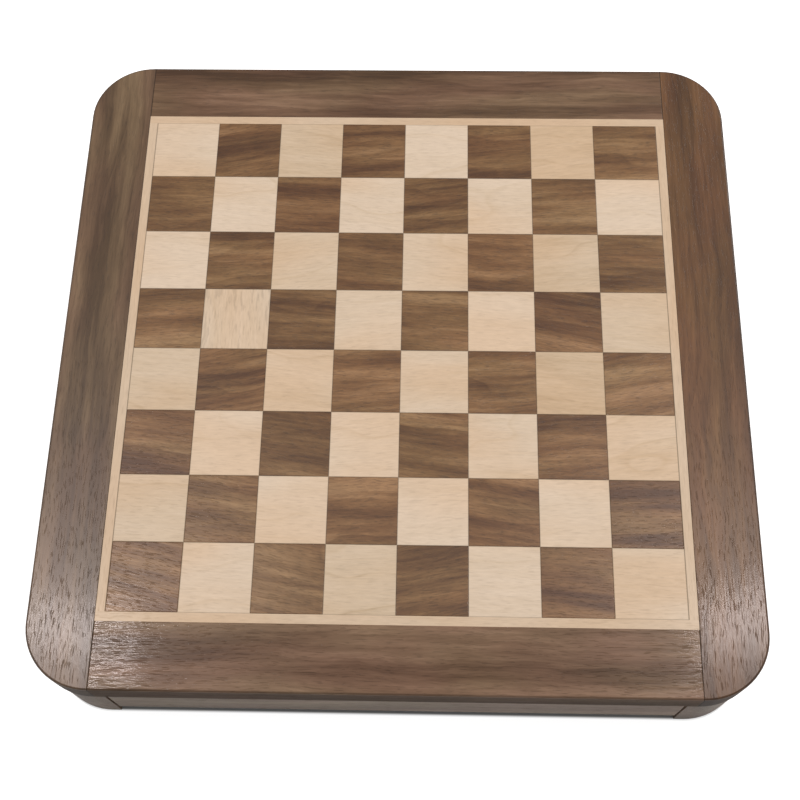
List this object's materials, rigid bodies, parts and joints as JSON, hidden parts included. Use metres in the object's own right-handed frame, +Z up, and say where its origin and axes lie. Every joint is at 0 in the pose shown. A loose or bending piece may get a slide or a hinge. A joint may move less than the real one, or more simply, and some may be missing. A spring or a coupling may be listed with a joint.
{
  "type": "chess box with drawers",
  "caption": "Square inlaid chess board on a low wooden case, with a felt-lined drawer for the pieces in its front and one in its back.",
  "frame": {"origin": "centre of the underside, on the surface that the box stands on", "axes": "+Z up through the playing surface, -Y out of the front drawer, +X to the right of a player who faces the front"},
  "size_m": [0.305, 0.305, 0.05],
  "materials": {
    "case_wood": "dark open-pored hardwood, satin lacquer",
    "dark_squares": "dark straight-grained hardwood, satin lacquer",
    "pale_inlay": "pale maple-like hardwood, satin lacquer",
    "drawer_wood": "pale hardwood, sanded and oiled",
    "panel_board": "plywood, unfinished",
    "dowel_wood": "beech dowel, unfinished",
    "felt": "short wool felt",
    "screw_steel": "zinc plated",
    "brad_brass": "plain"
  },
  "bodies": {
    "case": {"dark_rank_1": "dark_squares", "dark_rank_2": "dark_squares", "dark_rank_3": "dark_squares", "dark_rank_4": "dark_squares", "dark_rank_5": "dark_squares", "dark_rank_6": "dark_squares", "dark_rank_7": "dark_squares", "dark_rank_8": "dark_squares", "light_rank_1": "pale_inlay", "light_rank_2": "pale_inlay", "light_rank_3": "pale_inlay", "light_rank_4": "pale_inlay", "light_rank_5": "pale_inlay", "light_rank_6": "pale_inlay", "light_rank_7": "pale_inlay", "light_rank_8": "pale_inlay", "border_front": "pale_inlay", "border_back": "pale_inlay", "border_left": "pale_inlay", "border_right": "pale_inlay", "playing_panel": "panel_board", "frame_left": "case_wood", "frame_right": "case_wood", "frame_front": "case_wood", "frame_back": "case_wood", "side_rail_left": "case_wood", "side_rail_right": "case_wood", "partition": "case_wood", "bottom_panel": "panel_board", "bottom_screws": "screw_steel", "frame_dowels": "dowel_wood"},
    "front_drawer": {"front_drawer_face": "case_wood", "front_drawer_left_side": "drawer_wood", "front_drawer_right_side": "drawer_wood", "front_drawer_back": "drawer_wood", "front_drawer_floor": "panel_board", "front_drawer_lining": "felt", "front_drawer_divider": "drawer_wood", "front_drawer_brads": "brad_brass"},
    "rear_drawer": {"rear_drawer_face": "case_wood", "rear_drawer_left_side": "drawer_wood", "rear_drawer_right_side": "drawer_wood", "rear_drawer_back": "drawer_wood", "rear_drawer_floor": "panel_board", "rear_drawer_lining": "felt", "rear_drawer_divider": "drawer_wood", "rear_drawer_brads": "brad_brass"}
  },
  "joints": [
    {"name": "front_drawer_slide", "type": "slide", "parent": "case", "child": "front_drawer", "axis": [0, -1, 0], "range_m": [0, 0.1105]},
    {"name": "rear_drawer_slide", "type": "slide", "parent": "case", "child": "rear_drawer", "axis": [0, 1, 0], "range_m": [0, 0.1105]}
  ]
}
